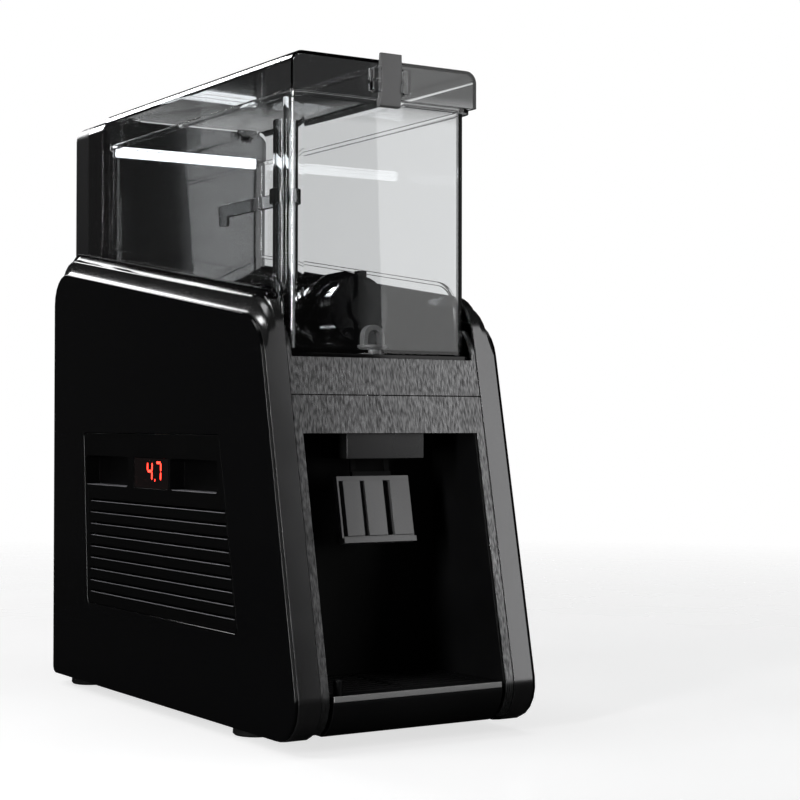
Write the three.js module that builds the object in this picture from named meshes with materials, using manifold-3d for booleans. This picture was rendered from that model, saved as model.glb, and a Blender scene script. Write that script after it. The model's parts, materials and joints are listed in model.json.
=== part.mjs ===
// Counter-top slushie machine with one clear bowl: millimetres, +Z up, -Y the dispensing front.
// The origin is on the surface the feet stand on, under the middle of the overall box.

import * as THREE from 'three';
import { mergeVertices } from 'three/addons/utils/BufferGeometryUtils.js';
import Module from 'manifold-3d';

const wasm = await Module();
wasm.setup();

// ---------------------------------------------------------------- driving dimensions

const GAP = 0.3;                 // clearance between pieces that touch
const WALL = 3;                  // thickness of covers and panels

const HALF_WIDTH = 115;
const REAR_Y = 249;
const FOOT_HEIGHT = 9;

const FRONT_FOOT_Y = -258.4;     // where the leaning front plane would meet the floor
const FRONT_SLOPE = 0.2084;      // the front leans back by this much for each mm of height
const TOP_Y = -157.3;            // a point on the sloping top edge of the side panels
const TOP_Z = 349.6;
const TOP_SLOPE = 0.1513;
const BOTTOM_FRONT_RADIUS = 32;
const BOTTOM_REAR_RADIUS = 8;
const TOP_FRONT_RADIUS = 40;
const TOP_REAR_RADIUS = 30;

const PANEL_THICKNESS = 2.5;     // glossy side panels
const BAND_INNER = 92.5;         // inner edge of the shells' front and rear bands
const MIDDLE_HALF = 92;          // half width of the fascia, column and back covers
const CROWN = [                  // the shell's rounded top: outer half width, height over the panel top
  [111.4, 0], [109.6, 2.5], [107.8, 8], [107, 12], [106, 12.8], [102.5, 14.5], [100.6, 17.5], [100, 20],
];
const CRADLE_RAISE = 19.5;       // the bowl cradle's sides above the panel top

const SEAM_Z = 282;              // joint between the two fascia pieces
const FASCIA_TOP = 313;
const FASCIA_EAR_TOP = 338;
const WINDOW_HALF = 88;

const ALCOVE_HALF = 84.5;
const ALCOVE_TOP = 250.7;
const ALCOVE_BACK = -138;
const ALCOVE_FLOOR = 17;
const ALCOVE_CEILING = 252;
const LINER_WALL = 2.5;

const BASE_Z = 12.3;
const BASE_THICKNESS = 2;
const BASE_HALF = 109;
const BASE_FRONT = -196;

const BOWL_HALF = 87;
const BOWL_FRONT = -188;
const BOWL_REAR = 179;
const BOWL_BOTTOM = 317;
const BOWL_WALL = 3;
const BOWL_CORNER = 13;
const LEDGE_RAISE = 28.5;        // the bowl steps in below this height over the panel top
const LEDGE_FRONT = -173;
const LEDGE_RADIUS = 30;
const BOWL_LOWER_HALF = 83.6;
const RIM_BOTTOM = 524.5;
const RIM_TOP = 528;
const RIM_HALF = 90.6;
const RIM_FRONT = -195;
const RIM_REAR = 181;

const LID_TOP = 560;
const LID_WALL = 2.5;
const LID_EDGE_RADIUS = 10;
const LID_REAR = 180;
const LID_AXIS_Y = 177.5;
const LID_AXIS_Z = 556;
const HINGE_X = 66;              // middle of each hinge ear

const LATCH_AXIS_Y = -200;
const LATCH_AXIS_Z = 542;

const COLUMN_FRONT = 183;
const COLUMN_SEAM = 218;
const COLUMN_TOP = 557;
const COLUMN_BOTTOM = 272;
const COLUMN_CORNER = 15;

const DRUM_Z = 356;
const DRUM_RADIUS = 26;
const DRUM_FRONT = -148;
const AUGER_INNER = 27.2;
const AUGER_OUTER = 34;
const AUGER_TURNS = 6;
const SHAFT_RADIUS = 6;
const SEAL_PLUG_RADIUS = 30.7;
const SEAL_FLANGE_RADIUS = 34;
const HUB_RADIUS = 11;
const GEAR_CASE = { half: 36, low: 330, high: 384, front: 188, rear: 214 };
const MOTOR_RADIUS = 13;

const TAP_Y = -172;              // vertical axis of the tap
const TAP_BORE = 10.3;
const TAP_TUBE_RADIUS = 13;
const SPOUT_HALF = 37.5;
const SPOUT_BOTTOM = 229.7;
const SPOUT_FRONT = -195;
const SPOUT_REAR = -152;
const SPRING_LOW = 266.4;
const SPRING_HIGH = 298.6;
const SPRING_RADIUS = 7;
const SPRING_WIRE = 0.8;
const LEVER_AXIS_Y = -187.6;
const LEVER_AXIS_Z = 240;
const TAP_BAR_Z = 241.2;         // the piston's cross bar, which the lever lifts
const TAP_BAR_RADIUS = 2;
const LEVER_HALF = 35.3;
const LEVER_DEPTH = 39;          // behind the front plane
const LEVER_LOW = 171.4;         // along the front plane
const LEVER_HIGH = 227.8;

const TRAY_HALF = 80.5;
const GRILLE_TOP = 45;
const LIP_BOTTOM = 41.2;
const LIP_TOP = 45.8;
const FLOAT_X = -71;
const FLOAT_Y = -238;

const PIPE_X = -70.5;            // standpipe in the bowl
const PIPE_Y = -151.5;
const PIPE_RADIUS = 9.75;
const PIPE_TOP = 510;
const PIPE_WALL = 2.2;
const ARM_X = -64.2;
const ARM_Y = -133;
const ARM_Z = 446.5;
const ARM_LENGTH = 111;
const ARM_HALF_THICKNESS = 2.5;
const ARM_HALF_HEIGHT = 5.3;
const ARM_PIN_RADIUS = 2;

const VENT_TOP = 249.2;
const VENT_BOTTOM = 87;
const VENT_ROW_TOP = 227.7;      // the row of pockets and the display
const VENT_ROW_BOTTOM = 200;
const LOUVRE_PITCH = 10.8;
const LOUVRE_COUNT = 9;
const LOUVRE_SLOT = 2.6;

const SWITCH_Z = 510;
const SWITCHES = [['main', 7.5, 24], ['mixer', -19.4, 15], ['cooling', -42.6, 15]];
const SWITCH_HEIGHT = 31;
const ROCKER_AXIS_Y = 240;
const ROCKER_REACH = 12.9;
const ROCKER_SWING = 15.4;       // degrees between its two positions
const CONTROL_FLOOR = 243;       // bottom of the recess that holds the switches

const FAN_Z = 344;
const FAN_RADIUS = 45;
const CONDENSER_FAN_Z = 142;

const FOOT_POSITIONS = { front: -127, rear: 222 };
const FOOT_X = 84;
const FOOT_RADIUS = 20;

// ---------------------------------------------------------------- shapes and solids

// A closed outline from corners [u, v, radius]; a rounded corner becomes an arc of short steps.
function outline(corners, steps = 6) {
  const points = [];
  corners.forEach(([u, v, radius = 0], i) => {
    const here = new THREE.Vector2(u, v);
    if (radius === 0) {
      points.push(here);
      return;
    }
    const before = new THREE.Vector2(...corners.at(i - 1)).sub(here).normalize();
    const after = new THREE.Vector2(...corners[(i + 1) % corners.length]).sub(here).normalize();
    const half = Math.acos(THREE.MathUtils.clamp(before.dot(after), -1, 1)) / 2;
    const bisector = before.clone().add(after).normalize();
    const centre = here.clone().addScaledVector(bisector, radius / Math.sin(half));
    const start = here.clone().addScaledVector(before, radius / Math.tan(half)).sub(centre);
    const end = here.clone().addScaledVector(after, radius / Math.tan(half)).sub(centre);
    const sweep = Math.atan2(start.cross(end), start.dot(end));
    for (let k = 0; k <= steps; k += 1) {
      points.push(start.clone().rotateAround(new THREE.Vector2(), sweep * k / steps).add(centre));
    }
  });
  return new THREE.Shape(points);
}

function rectangle(u0, u1, v0, v1, radius = 0, steps = 5) {
  return outline([[u0, v0, radius], [u1, v0, radius], [u1, v1, radius], [u0, v1, radius]], steps);
}

function circle(u, v, radius, count = 24) {
  const points = [];
  for (let i = 0; i < count; i += 1) {
    const angle = 2 * Math.PI * i / count;
    points.push(new THREE.Vector2(u + radius * Math.cos(angle), v + radius * Math.sin(angle)));
  }
  return new THREE.Shape(points);
}

function solid(geometry) {
  const bare = geometry.clone();
  bare.deleteAttribute('normal');
  bare.deleteAttribute('uv');
  const merged = mergeVertices(bare, 1e-4);
  const vertProperties = new Float32Array(merged.attributes.position.array);
  const triVerts = new Uint32Array(merged.index.array);
  return new wasm.Manifold(new wasm.Mesh({ numProp: 3, vertProperties, triVerts }));
}

function extrude(shape, depth) {
  return new THREE.ExtrudeGeometry(shape, { depth, bevelEnabled: false, curveSegments: 8 });
}

// Outline in (Y, Z), pushed along X.
function alongX(shape, x0, x1) {
  const turn = new THREE.Matrix4().set(0, 0, 1, x0, 1, 0, 0, 0, 0, 1, 0, 0, 0, 0, 0, 1);
  return solid(extrude(shape, x1 - x0).applyMatrix4(turn));
}

// The same, from |x| = a to |x| = b on one side of the machine.
function onSide(side, shape, a, b) {
  return alongX(shape, Math.min(side * a, side * b), Math.max(side * a, side * b));
}

// Outline in (X, Z), pushed along Y.
function alongY(shape, y0, y1) {
  const turn = new THREE.Matrix4().set(1, 0, 0, 0, 0, 0, -1, y1, 0, 1, 0, 0, 0, 0, 0, 1);
  return solid(extrude(shape, y1 - y0).applyMatrix4(turn));
}

// Outline in (X, Y), pushed along Z.
function alongZ(shape, z0, z1) {
  return solid(extrude(shape, z1 - z0).translate(0, 0, z0));
}

// Outlines in (Y, Z) with equal point counts, each at its own rising X, skinned into one solid.
function lofted(sections) {
  const count = sections[0][1].length;
  const positions = sections.flatMap(([x, points]) => points.flatMap((p) => [x, p.x, p.y]));
  const index = [];
  for (let i = 0; i < sections.length - 1; i += 1) {
    for (let k = 0; k < count; k += 1) {
      const a = i * count + k;
      const b = i * count + (k + 1) % count;
      index.push(a, b, b + count, a, b + count, a + count);
    }
  }
  const last = (sections.length - 1) * count;
  for (const [a, b, c] of THREE.ShapeUtils.triangulateShape(sections[0][1], [])) {
    index.push(a, c, b, last + a, last + b, last + c);
  }
  const geometry = new THREE.BufferGeometry();
  geometry.setAttribute('position', new THREE.Float32BufferAttribute(positions, 3));
  geometry.setIndex(index);
  return geometry;
}

function box(x0, x1, y0, y1, z0, z1) {
  const shape = new THREE.BoxGeometry(x1 - x0, y1 - y0, z1 - z0);
  return solid(shape.translate((x0 + x1) / 2, (y0 + y1) / 2, (z0 + z1) / 2));
}

// A turned piece about the Z axis, from [radius, z] points that start and end on the axis
// or close on themselves.
function turned(profile, segments = 24) {
  const points = profile.map(([radius, z]) => new THREE.Vector2(radius, z));
  return solid(new THREE.LatheGeometry(points, segments).rotateX(Math.PI / 2));
}

function ring(inner, outer, z0, z1, segments = 24) {
  return turned([[inner, z0], [outer, z0], [outer, z1], [inner, z1], [inner, z0]], segments);
}

function rodX(radius, x0, x1, y, z, count = 16) {
  return alongX(circle(y, z, radius, count), x0, x1);
}

function rodY(radius, y0, y1, x, z, count = 24) {
  return alongY(circle(x, z, radius, count), y0, y1);
}

function rodZ(radius, z0, z1, x, y, count = 24) {
  return alongZ(circle(x, y, radius, count), z0, z1);
}

function join(...pieces) {
  return pieces.reduce((whole, piece) => whole.add(piece));
}

function cut(whole, ...tools) {
  return tools.reduce((rest, tool) => rest.subtract(tool), whole);
}

function tube(points, radius, sides, steps) {
  const section = circle(0, 0, radius, sides);
  const path = new THREE.CatmullRomCurve3(points.map((p) => new THREE.Vector3(...p)));
  return solid(new THREE.ExtrudeGeometry(section, { steps, extrudePath: path, bevelEnabled: false }));
}

// ---------------------------------------------------------------- scene graph

const FINISHES = {
  glossBlack: ['#0b0b0d', 0.12, 0],
  satinGrey: ['#3a3b3e', 0.42, 0],
  brushedDark: ['#4a4a4c', 0.38, 0.7],
  matteDark: ['#2c2d30', 0.6, 0],
  matteBlack: ['#141416', 0.7, 0],
  clear: ['#e8eef0', 0.05, 0],
  midGrey: ['#85878a', 0.5, 0],
  lightGrey: ['#a9aaab', 0.45, 0],
  steel: ['#b9bbbd', 0.25, 1],
  zinc: ['#9a9c9e', 0.45, 0.8],
  rubber: ['#1a1a1b', 0.9, 0],
  glow: ['#f6faff', 0.3, 0],
  lens: ['#150405', 0.08, 0],
  copper: ['#b0643a', 0.35, 1],
};

const machine = new THREE.Group();

function add(name, manifold, finish, parent = machine) {
  const { vertProperties, triVerts } = manifold.getMesh();
  const geometry = new THREE.BufferGeometry();
  geometry.setAttribute('position', new THREE.BufferAttribute(new Float32Array(vertProperties), 3));
  geometry.setIndex(new THREE.BufferAttribute(new Uint32Array(triVerts), 1));
  geometry.computeVertexNormals();
  const [color, roughness, metalness] = FINISHES[finish];
  const mesh = new THREE.Mesh(geometry, new THREE.MeshStandardMaterial({ color, roughness, metalness }));
  mesh.name = name;
  parent.add(mesh);
  return mesh;
}

// ---------------------------------------------------------------- side profile of the body

const frontY = (z) => FRONT_FOOT_Y + FRONT_SLOPE * z;
const topZ = (y) => TOP_Z + TOP_SLOPE * (y - TOP_Y);

// The body's outline in (Y, Z), drawn in by `inset` with its top edge lifted by `raise`.
function bodyOutline(inset, raise = 0, rearY = REAR_Y) {
  const lean = Math.hypot(1, FRONT_SLOPE);
  const fall = Math.hypot(1, TOP_SLOPE);
  const front = (z) => frontY(z) + inset * lean;
  const top = (y) => topZ(y) + raise - inset * fall;
  const bottom = FOOT_HEIGHT + inset;
  const rear = rearY - inset;
  const cornerZ = top(FRONT_FOOT_Y + inset * lean) / (1 - TOP_SLOPE * FRONT_SLOPE);
  return outline([
    [rear, bottom, BOTTOM_REAR_RADIUS - inset],
    [rear, top(rear), TOP_REAR_RADIUS - inset],
    [front(cornerZ), cornerZ, TOP_FRONT_RADIUS - inset],
    [front(bottom), bottom, BOTTOM_FRONT_RADIUS - inset],
  ], 6);
}

// A skin of the wall thickness that follows the leaning front, between two heights.
function frontSkin(halfWidth, z0, z1) {
  const outer = alongX(bodyOutline(0.5), -halfWidth, halfWidth);
  const inner = alongX(bodyOutline(0.5 + WALL), -halfWidth - 1, halfWidth + 1);
  const region = box(-halfWidth - 1, halfWidth + 1, frontY(0) - 1, TOP_Y, z0, z1);
  const underside = box(-halfWidth - 1, halfWidth + 1, -200, TOP_Y + 1, 0, FOOT_HEIGHT + 2 * WALL);
  return cut(cut(outer, inner).intersect(region), underside);
}

// ---------------------------------------------------------------- side shells and panels

// The vent's outline in (Y, Z): its front edge leans with the machine's front.
function ventOutline(margin) {
  return outline([
    [161 + margin, VENT_BOTTOM - margin, 4],
    [171.4 + margin, VENT_TOP + margin, 4],
    [-116.5 - margin, VENT_TOP + margin, 4],
    [-151.3 - margin, VENT_BOTTOM - margin, 4],
  ], 3);
}

function sidePanel(side) {
  const panel = onSide(side, bodyOutline(0.8), HALF_WIDTH - PANEL_THICKNESS, HALF_WIDTH);
  if (side > 0) {
    return panel;
  }
  return cut(panel, alongX(ventOutline(0), -HALF_WIDTH - 1, -HALF_WIDTH + 4));
}

function sideShell(side) {
  const outer = HALF_WIDTH - PANEL_THICKNESS - GAP;
  const crownTop = CROWN.at(-1)[1];
  const sections = [[outer, 0.6, 0], ...CROWN.map(([x, raise]) => [x, 0, raise]), [BAND_INNER, 0, crownTop]];
  const skin = (inset, thinner, innerX) => {
    const rings = sections.map(([x, edge, raise], i) => [
      side * (i === sections.length - 1 ? innerX : x - thinner),
      bodyOutline(inset + edge, raise).getPoints(),
    ]);
    return solid(lofted(side > 0 ? rings.reverse() : rings));
  };
  const shell = cut(skin(0, 0, BAND_INNER), skin(WALL, PANEL_THICKNESS, BAND_INNER - 1));
  if (side > 0) {
    return shell;
  }
  return cut(shell, alongX(ventOutline(2), -HALF_WIDTH, -BAND_INNER - 4));
}

for (const [name, side] of [['left', -1], ['right', 1]]) {
  add(`side_shell_${name}`, sideShell(side), 'satinGrey');
  add(`side_panel_${name}`, sidePanel(side), 'glossBlack');
}

// ---------------------------------------------------------------- side vent, pockets, display

const POCKETS = [[67.8, 166], [-114, -21.6]];
const DISPLAY_Y = [-18.2, 54];
const POCKET_DEPTH = 16;
const VENT_FACE = -HALF_WIDTH + 0.3;
const VENT_THICKNESS = 4;

function ventInsert() {
  const plate = alongX(ventOutline(-0.4), VENT_FACE, VENT_FACE + VENT_THICKNESS);
  const slots = [];
  for (let i = 0; i < LOUVRE_COUNT; i += 1) {
    const z = VENT_BOTTOM + 11 + LOUVRE_PITCH * i;
    const front = frontY(z) + 92;
    slots.push(box(VENT_FACE - 1, VENT_FACE + VENT_THICKNESS + 1, front, 154, z, z + LOUVRE_SLOT));
  }
  const cups = POCKETS.map(([y0, y1]) => box(VENT_FACE + 1, VENT_FACE + POCKET_DEPTH,
    y0 - 2, y1 + 2, VENT_ROW_BOTTOM - 2, VENT_ROW_TOP + 2));
  const hollows = POCKETS.map(([y0, y1]) => alongX(
    rectangle(y0, y1, VENT_ROW_BOTTOM, VENT_ROW_TOP, 4, 3), VENT_FACE - 1, VENT_FACE + POCKET_DEPTH - 2));
  const through = VENT_FACE + VENT_THICKNESS + 1;
  const window = box(VENT_FACE - 1, through, ...DISPLAY_Y, VENT_ROW_BOTTOM, VENT_ROW_TOP);
  return cut(join(plate, ...cups), ...hollows, ...slots, window);
}

add('vent_insert', ventInsert(), 'matteDark');
add('display_lens', box(VENT_FACE + 0.3, VENT_FACE + 2.3, DISPLAY_Y[0] + GAP, DISPLAY_Y[1] - GAP,
  VENT_ROW_BOTTOM + GAP, VENT_ROW_TOP - GAP), 'lens');
add('display_module', box(VENT_FACE + 5, VENT_FACE + 15, DISPLAY_Y[0] + 2, DISPLAY_Y[1] - 2,
  VENT_ROW_BOTTOM - 4, VENT_ROW_TOP + 4), 'matteBlack');

// ---------------------------------------------------------------- front fascia and alcove

const alcoveOpening = box(-ALCOVE_HALF, ALCOVE_HALF, -300, 0, 0, ALCOVE_TOP);
const bowlWindow = box(-WINDOW_HALF, WINDOW_HALF, -300, 0, FASCIA_TOP, 400);
const fasciaBottom = FOOT_HEIGHT + 6;
const halfSeam = 0.2;
const lowerSkin = frontSkin(MIDDLE_HALF, fasciaBottom, SEAM_Z - halfSeam);
const upperSkin = frontSkin(MIDDLE_HALF, SEAM_Z + halfSeam, FASCIA_EAR_TOP);
add('fascia_frame', cut(lowerSkin, alcoveOpening), 'brushedDark');
add('fascia_upper', cut(upperSkin, bowlWindow), 'brushedDark');

function alcoveLiner() {
  const half = ALCOVE_HALF + LINER_WALL;
  const rear = ALCOVE_BACK + LINER_WALL;
  const outer = box(-half, half, -300, rear, ALCOVE_FLOOR - 2.4, ALCOVE_CEILING + LINER_WALL);
  const behindSkin = alongX(bodyOutline(WALL + 1), -half - 1, half + 1);
  const inner = box(-ALCOVE_HALF, ALCOVE_HALF, -301, ALCOVE_BACK, ALCOVE_FLOOR, ALCOVE_CEILING);
  const tapHole = rodZ(TAP_TUBE_RADIUS + 0.4, ALCOVE_CEILING - 1, ALCOVE_CEILING + 5, 0, TAP_Y);
  return cut(outer.intersect(behindSkin), inner, tapHole);
}

add('alcove_liner', alcoveLiner(), 'matteBlack');

// ---------------------------------------------------------------- tap and dispense lever

function spoutBlock() {
  const top = ALCOVE_CEILING - GAP;
  const inner = SPOUT_HALF - LINER_WALL;
  const shell = box(-SPOUT_HALF, SPOUT_HALF, SPOUT_FRONT, SPOUT_REAR, SPOUT_BOTTOM, top);
  const room = box(-inner, inner, SPOUT_FRONT + LINER_WALL, SPOUT_REAR + 1, SPOUT_BOTTOM - 1, top - WALL);
  const tubeHole = rodZ(TAP_TUBE_RADIUS + 0.4, top - 5, top + 1, 0, TAP_Y);
  return cut(shell, room, tubeHole);
}

function tapTube() {
  const tubeWall = ring(TAP_BORE, TAP_TUBE_RADIUS, SPOUT_BOTTOM + 0.8, BOWL_BOTTOM - GAP)
    .translate([0, TAP_Y, 0]);
  const stop = ring(5.2, TAP_BORE + 1, 300, 303).translate([0, TAP_Y, 0]);
  const slots = box(-20, 20, TAP_Y - 2.8, TAP_Y + 2.8, TAP_BAR_Z - 2.5, TAP_BAR_Z + 8);
  return cut(tubeWall, slots).add(stop);
}

function tapPiston() {
  const stem = turned([
    [0, TAP_BAR_Z - 1.7], [4, TAP_BAR_Z - 1.7], [4, 262], [9.6, 262], [9.6, 265], [4, 265], [4, 316.4],
    [TAP_BORE - 0.4, 316.4], [TAP_BORE - 0.4, 321], [12.5, 322.5], [12.5, 324.5], [0, 324.5],
  ], 18).translate([0, TAP_Y, 0]);
  const bar = rodX(TAP_BAR_RADIUS, -17.5, 17.5, TAP_Y, TAP_BAR_Z, 12);
  const bailOuter = outline([[-10.2, 323], [10.2, 323], [10.2, 341.5, 10.1], [-10.2, 341.5, 10.1]], 5);
  const bailInner = outline([[-6, 322], [6, 322], [6, 337.3, 5.9], [-6, 337.3, 5.9]], 5);
  const bail = cut(alongY(bailOuter, TAP_Y - 3.5, TAP_Y + 3.5), alongY(bailInner, TAP_Y - 9, TAP_Y + 9));
  return join(stem, bar, bail.intersect(box(-20, 20, TAP_Y - 9, TAP_Y + 9, 324, 350)));
}

function tapSpring() {
  const points = [];
  const turns = 4;
  const perTurn = 9;
  for (let i = 0; i <= turns * perTurn; i += 1) {
    const angle = 2 * Math.PI * i / perTurn;
    const z = SPRING_LOW + (SPRING_HIGH - SPRING_LOW) * i / (turns * perTurn);
    points.push([SPRING_RADIUS * Math.cos(angle), TAP_Y + SPRING_RADIUS * Math.sin(angle), z]);
  }
  return tube(points, SPRING_WIRE, 5, turns * perTurn);
}

add('spout_block', spoutBlock(), 'satinGrey');
add('tap_tube', tapTube(), 'steel');
add('tap_piston', tapPiston(), 'lightGrey');
add('tap_spring', tapSpring(), 'steel');

// The lever is drawn in a frame that leans with the front: y is depth behind the front plane.
const frontFrame = new THREE.Group();
frontFrame.position.set(0, FRONT_FOOT_Y, 0);
frontFrame.rotation.x = -Math.atan(FRONT_SLOPE);
machine.add(frontFrame);

function inFrontFrame(y, z) {
  const point = new THREE.Vector3(0, y - FRONT_FOOT_Y, z);
  return point.applyAxisAngle(new THREE.Vector3(1, 0, 0), Math.atan(FRONT_SLOPE));
}

function dispenseLever() {
  const thickness = 5;
  const back = LEVER_DEPTH + thickness;
  const plate = box(-LEVER_HALF, LEVER_HALF, LEVER_DEPTH, back, LEVER_LOW, LEVER_HIGH);
  const ribs = [[-30.5, -14], [-9.5, 8.5], [15.5, LEVER_HALF - 1]];
  const grooves = [[-33.5, -30.5], [-14, -9.5], [8.5, 15.5]];
  const low = LEVER_LOW + 6;
  const high = LEVER_HIGH - 4;
  const slots = grooves.map(([x0, x1]) => box(x0, x1, LEVER_DEPTH - 1, back + 1, low, high));
  const pads = ribs.map(([x0, x1]) => box(x0, x1, LEVER_DEPTH - 1.5, LEVER_DEPTH + 1, low, high));
  const lip = box(-LEVER_HALF, LEVER_HALF, LEVER_DEPTH - 3, LEVER_DEPTH + 1, LEVER_LOW, LEVER_LOW + 4.5);
  const axis = inFrontFrame(LEVER_AXIS_Y, LEVER_AXIS_Z);
  const finger = inFrontFrame(TAP_Y, TAP_BAR_Z - TAP_BAR_RADIUS - 0.6);
  const crank = outline([
    [axis.y - 5, axis.z - 4, 3], [finger.y + 5, finger.z - 8, 2], [back - 2, LEVER_HIGH + 6, 2],
    [back, LEVER_HIGH - 1], [back, LEVER_HIGH + 10, 2],
    [finger.y + 5, finger.z, 1], [finger.y - 4, finger.z, 1], [axis.y - 4, axis.z + 5, 3],
  ], 3);
  const foot = box(-19, 19, LEVER_DEPTH + 1, back, LEVER_HIGH - 3, LEVER_HIGH + 4);
  const cranks = [-1, 1].map((side) => onSide(side, crank, 14, 19));
  const bore = rodX(2.4, -30, 30, axis.y, axis.z, 16);
  return cut(join(cut(plate, ...slots), ...pads, lip, foot, ...cranks), bore);
}

add('dispense_lever', dispenseLever(), 'midGrey', frontFrame);
add('lever_pin', rodX(2, -34.6, 34.6, LEVER_AXIS_Y, LEVER_AXIS_Z, 16), 'steel');

// ---------------------------------------------------------------- drip tray

function dripTray() {
  const rear = ALCOVE_BACK - 1;
  const reach = -ALCOVE_BACK + 20;
  const lift = 0.6;
  const skin = frontSkin(TRAY_HALF, FOOT_HEIGHT + 3, LIP_BOTTOM - GAP);
  const tub = box(-TRAY_HALF, TRAY_HALF, rear - reach, rear, ALCOVE_FLOOR + lift, LIP_BOTTOM - GAP)
    .intersect(alongX(bodyOutline(1), -TRAY_HALF - 1, TRAY_HALF + 1));
  const room = box(-TRAY_HALF + 2, TRAY_HALF - 2, -300, rear - 2, ALCOVE_FLOOR + lift + 2, LIP_BOTTOM + 1)
    .intersect(alongX(bodyOutline(0.5 + WALL), -TRAY_HALF, TRAY_HALF));
  return cut(join(skin, tub), room);
}

function dripGrille() {
  const rear = ALCOVE_BACK - 1;
  const half = TRAY_HALF - 0.2;
  const reach = alongX(bodyOutline(0.5), -half - 1, half + 1);
  const lip = box(-half, half, -300, -236, LIP_BOTTOM, LIP_TOP).intersect(reach)
    .subtract(box(-half - 1, half + 1, -246.5, -230, GRILLE_TOP, LIP_TOP + 1));
  const plate = box(-half, half, -247, rear, LIP_BOTTOM, GRILLE_TOP);
  const slots = [];
  for (let i = 0; i < 9; i += 1) {
    const y = -229 + 9.8 * i;
    slots.push(box(-74, -2.5, y, y + 5.2, LIP_BOTTOM - 1, GRILLE_TOP + 1));
    slots.push(box(2.5, 74, y, y + 5.2, LIP_BOTTOM - 1, GRILLE_TOP + 1));
  }
  const guide = rodZ(4.3, LIP_BOTTOM - 1, LIP_TOP + 1, FLOAT_X, FLOAT_Y, 20);
  return cut(join(lip, plate), ...slots, guide);
}

add('drip_tray', dripTray(), 'matteBlack');
add('drip_grille', dripGrille(), 'matteBlack');
add('level_float', join(
  turned([[0, 32], [3.75, 32], [3.75, 56.5], [2.6, 57.7], [0, 57.7]], 16).translate([FLOAT_X, FLOAT_Y, 0]),
  box(FLOAT_X - 5, FLOAT_X + 5, FLOAT_Y - 2, FLOAT_Y + 18, 31, 35.5),
), 'matteBlack');

// ---------------------------------------------------------------- bowl, its cradle and what stands in it

function bowlCradle() {
  const half = 91.7;
  const sideInner = 88.2;
  const side = outline([
    [COLUMN_FRONT - GAP, BOWL_BOTTOM - 5.5], [COLUMN_FRONT - GAP, topZ(COLUMN_FRONT) + CRADLE_RAISE],
    [LEDGE_FRONT, topZ(LEDGE_FRONT) + CRADLE_RAISE, 22], [LEDGE_FRONT, BOWL_BOTTOM - 5.5],
  ], 8);
  const floor = box(-half, half, -187, COLUMN_FRONT - GAP, BOWL_BOTTOM - 5.5, BOWL_BOTTOM - 0.5);
  const tapHole = rodZ(TAP_TUBE_RADIUS + 0.4, BOWL_BOTTOM - 8, BOWL_BOTTOM + 1, 0, TAP_Y);
  const walls = [alongX(side, -half, -sideInner), alongX(side, sideInner, half)];
  return cut(join(floor, ...walls), tapHole);
}

// The space beside the bowl's narrow lower part, for one side wall of the given offset.
function bowlNotch(side, halfWidth, inset) {
  const top = (y) => topZ(y) + LEDGE_RAISE + inset;
  const front = LEDGE_FRONT - inset;
  const rear = BOWL_REAR + 2;
  const shape = outline([
    [rear, BOWL_BOTTOM - 2], [rear, top(rear)],
    [front, top(front), LEDGE_RADIUS + inset], [front, BOWL_BOTTOM - 2],
  ], 8);
  return onSide(side, shape, halfWidth, BOWL_HALF + 1);
}

function bowl() {
  const wall = rectangle(-BOWL_HALF, BOWL_HALF, BOWL_FRONT, BOWL_REAR, BOWL_CORNER, 6);
  const rim = rectangle(-RIM_HALF, RIM_HALF, RIM_FRONT, RIM_REAR, BOWL_CORNER + 4, 6);
  const room = rectangle(-BOWL_HALF + BOWL_WALL, BOWL_HALF - BOWL_WALL, BOWL_FRONT + BOWL_WALL,
    BOWL_REAR - BOWL_WALL, BOWL_CORNER - BOWL_WALL, 6);
  const outer = join(alongZ(wall, BOWL_BOTTOM, RIM_BOTTOM + 1), alongZ(rim, RIM_BOTTOM, RIM_TOP));
  const tapHole = rodZ(TAP_BORE, BOWL_BOTTOM - 1, BOWL_BOTTOM + 6, 0, TAP_Y);
  const drumHole = rodY(SEAL_PLUG_RADIUS + GAP, BOWL_REAR - 6, BOWL_REAR + 3, 0, DRUM_Z, 40);
  const sides = [-1, 1];
  const cavity = cut(alongZ(room, BOWL_BOTTOM + BOWL_WALL, RIM_TOP + 1),
    ...sides.map((side) => bowlNotch(side, BOWL_LOWER_HALF - BOWL_WALL, BOWL_WALL)));
  return cut(outer, cavity, ...sides.map((side) => bowlNotch(side, BOWL_LOWER_HALF, 0)), tapHole, drumHole);
}

add('bowl_cradle', bowlCradle(), 'glossBlack');
add('bowl', bowl(), 'clear');
add('drum_seal', cut(
  join(
    rodY(SEAL_PLUG_RADIUS, BOWL_REAR - BOWL_WALL, COLUMN_FRONT - GAP, 0, DRUM_Z, 36),
    rodY(SEAL_FLANGE_RADIUS, BOWL_REAR + GAP, COLUMN_FRONT - GAP, 0, DRUM_Z, 36),
  ),
  rodY(DRUM_RADIUS + 0.3, BOWL_REAR - 10, COLUMN_FRONT + 1, 0, DRUM_Z, 36),
), 'rubber');

add('standpipe', ring(PIPE_RADIUS - PIPE_WALL, PIPE_RADIUS, BOWL_BOTTOM + BOWL_WALL + GAP, PIPE_TOP)
  .translate([PIPE_X, PIPE_Y, 0]), 'clear');

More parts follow.
